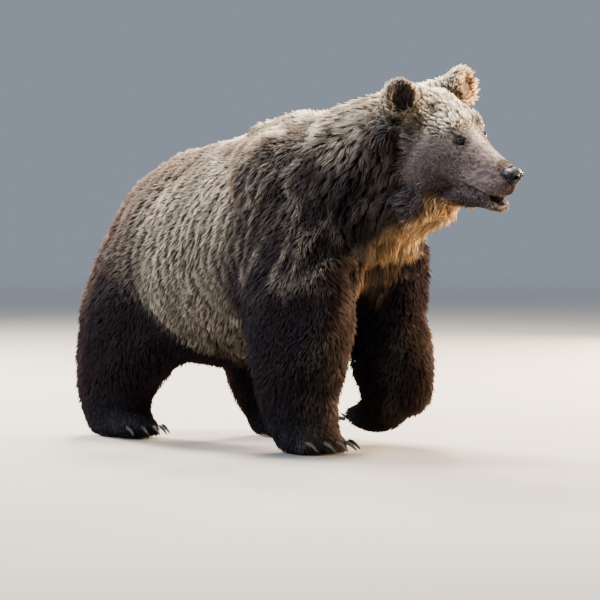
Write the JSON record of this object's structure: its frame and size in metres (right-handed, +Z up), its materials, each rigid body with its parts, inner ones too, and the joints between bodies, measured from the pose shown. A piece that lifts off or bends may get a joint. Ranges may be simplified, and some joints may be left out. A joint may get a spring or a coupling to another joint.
{
  "type": "brown bear",
  "caption": "Life-size brown bear in mid stride with its head raised and turned a little to its left, one forepaw lifted, in a shaggy grizzled coat.",
  "frame": {"origin": "middle of the bounding box in plan, on the floor under the paws", "axes": "-Y the way the bear faces, +X its left side, +Z up"},
  "size_m": [0.6726, 1.6742, 1.1637],
  "materials": {
    "body_coat": "long shaggy fur, grey-brown with pale tips on the back and flanks",
    "head_coat": "short dense greyish-tan fur on the face, longer on the cheeks and ears",
    "leg_coat": "thick dark brown to black-brown fur",
    "nose_skin": "moist black pebbled skin",
    "eye": "wet dark brown eye",
    "claw": "worn dark horn, paler at the tip"
  },
  "bodies": {
    "root": {"head": "head_coat", "muzzle": "head_coat", "jaw": "head_coat", "ear_left": "head_coat", "ear_right": "head_coat", "neck": "body_coat", "chest": "body_coat", "belly": "body_coat", "rump": "body_coat", "tail": "body_coat", "upper_arm_left": "leg_coat", "forearm_left": "leg_coat", "forepaw_left": "leg_coat", "thigh_left": "leg_coat", "shank_left": "leg_coat", "hindpaw_left": "leg_coat", "upper_arm_right": "leg_coat", "forearm_right": "leg_coat", "forepaw_right": "leg_coat", "thigh_right": "leg_coat", "shank_right": "leg_coat", "hindpaw_right": "leg_coat", "nose": "nose_skin", "eye_left": "eye", "eye_right": "eye", "foreclaw_left_1": "claw", "foreclaw_left_2": "claw", "foreclaw_left_3": "claw", "foreclaw_left_4": "claw", "foreclaw_left_5": "claw", "foreclaw_right_1": "claw", "foreclaw_right_2": "claw", "foreclaw_right_3": "claw", "foreclaw_right_4": "claw", "foreclaw_right_5": "claw", "hindclaw_left_1": "claw", "hindclaw_left_2": "claw", "hindclaw_left_3": "claw", "hindclaw_left_4": "claw", "hindclaw_left_5": "claw", "hindclaw_right_1": "claw", "hindclaw_right_2": "claw", "hindclaw_right_3": "claw", "hindclaw_right_4": "claw", "hindclaw_right_5": "claw"}
  },
  "joints": []
}
